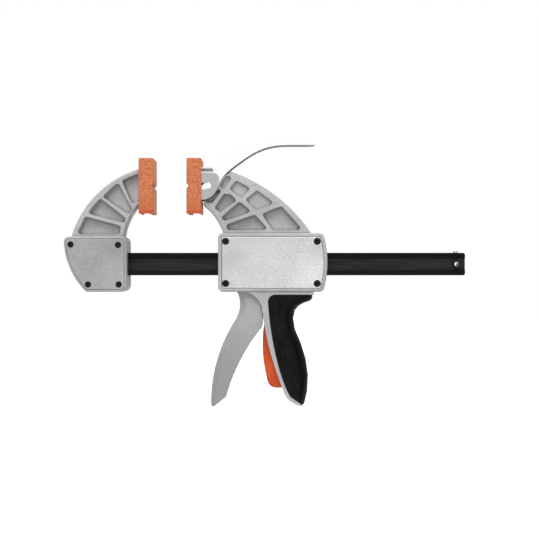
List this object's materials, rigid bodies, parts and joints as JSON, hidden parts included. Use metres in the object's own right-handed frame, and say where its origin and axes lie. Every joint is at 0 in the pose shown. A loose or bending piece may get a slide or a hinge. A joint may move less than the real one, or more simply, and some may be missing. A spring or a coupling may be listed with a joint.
{
  "type": "quick release bar clamp",
  "caption": "One-handed bar clamp: a pistol-grip jaw that a trigger walks along a flat bar towards a fixed jaw, with a release lever and a toggle lever that adds pressure.",
  "frame": {"origin": "middle of the fixed pad's clamping face", "axes": "+X along the bar from the fixed jaw to the bar's free end, +Z from the bar up to the pads, +Y through the thickness, away from the side with the cover plates"},
  "size_m": [0.3973, 0.0322, 0.2649],
  "materials": {
    "cast_alloy": "painted light grey over a finely pebbled casting",
    "brushed_cover": "bare, finely brushed",
    "trigger_paint": "painted light grey, satin",
    "pad_orange": "moulded, matte, finely speckled",
    "release_orange": "moulded, satin",
    "grip_black": "soft moulded, fine grain",
    "bar_black": "blackened, satin",
    "lever_chrome": "polished",
    "bracket_steel": "zinc plated",
    "screw_black": "blackened",
    "spring_steel": "bright",
    "pin_steel": "bright",
    "guide_plastic": "plain"
  },
  "bodies": {
    "clamp_frame": {"bar": "bar_black", "stop_pin": "bar_black", "stop_rivet": "pin_steel", "bar_dowels": "pin_steel", "fixed_jaw": "cast_alloy", "fixed_cover": "cast_alloy", "fixed_cover_screws": "screw_black", "fixed_pad": "pad_orange"},
    "sliding_jaw": {"moving_jaw": "cast_alloy", "moving_cover": "brushed_cover", "moving_cover_screws": "screw_black", "bar_guides": "guide_plastic", "rubber_grip": "grip_black", "lever_pin": "pin_steel", "trigger_pin": "pin_steel", "release_pin": "pin_steel", "drive_spring": "spring_steel", "brake_spring": "spring_steel"},
    "pad_carrier": {"moving_pad": "pad_orange", "pad_bracket": "bracket_steel"},
    "toggle_lever": {"power_lever": "lever_chrome"},
    "trigger_arm": {"trigger": "trigger_paint"},
    "drive": {"drive_plates": "pin_steel"},
    "release_arm": {"release_lever": "release_orange"},
    "brake": {"brake_plate": "pin_steel"}
  },
  "joints": [
    {"name": "jaw_slide", "type": "slide", "parent": "clamp_frame", "child": "sliding_jaw", "axis": [1, 0, 0], "range_m": [-0.0321, 0.124]},
    {"name": "trigger_pull", "type": "hinge", "parent": "sliding_jaw", "child": "trigger_arm", "pos_m": [0.0948, 0, -0.059], "axis": [0, -1, 0], "range_deg": [0, 14], "stiffness_Nm_per_rad": 0.5, "springref_deg": -5.73, "deforming": ["drive_spring"]},
    {"name": "drive_travel", "type": "slide", "parent": "sliding_jaw", "child": "drive", "axis": [1, 0, 0], "range_m": [0, 0.0062]},
    {"name": "release_pull", "type": "hinge", "parent": "sliding_jaw", "child": "release_arm", "pos_m": [0.1278, 0, -0.0919], "axis": [0, -1, 0], "range_deg": [0, 6.5], "stiffness_Nm_per_rad": 0.2, "springref_deg": -5.73, "deforming": ["brake_spring"]},
    {"name": "brake_tilt", "type": "hinge", "parent": "sliding_jaw", "child": "brake", "pos_m": [0.141, 0, -0.0541], "axis": [0, -1, 0], "range_deg": [0, 0.9]},
    {"name": "toggle_swing", "type": "hinge", "parent": "sliding_jaw", "child": "toggle_lever", "pos_m": [0.0541, 0, 0], "axis": [0, 1, 0], "range_deg": [0, 35]},
    {"name": "pad_float", "type": "slide", "parent": "sliding_jaw", "child": "pad_carrier", "axis": [-1, 0, 0], "range_m": [-0.0015, 0]}
  ],
  "couplings": [
    {"joint": "drive_travel", "follows": "trigger_pull", "m_per_rad": 0.025},
    {"joint": "brake_tilt", "follows": "release_pull", "ratio": 0.136}
  ]
}
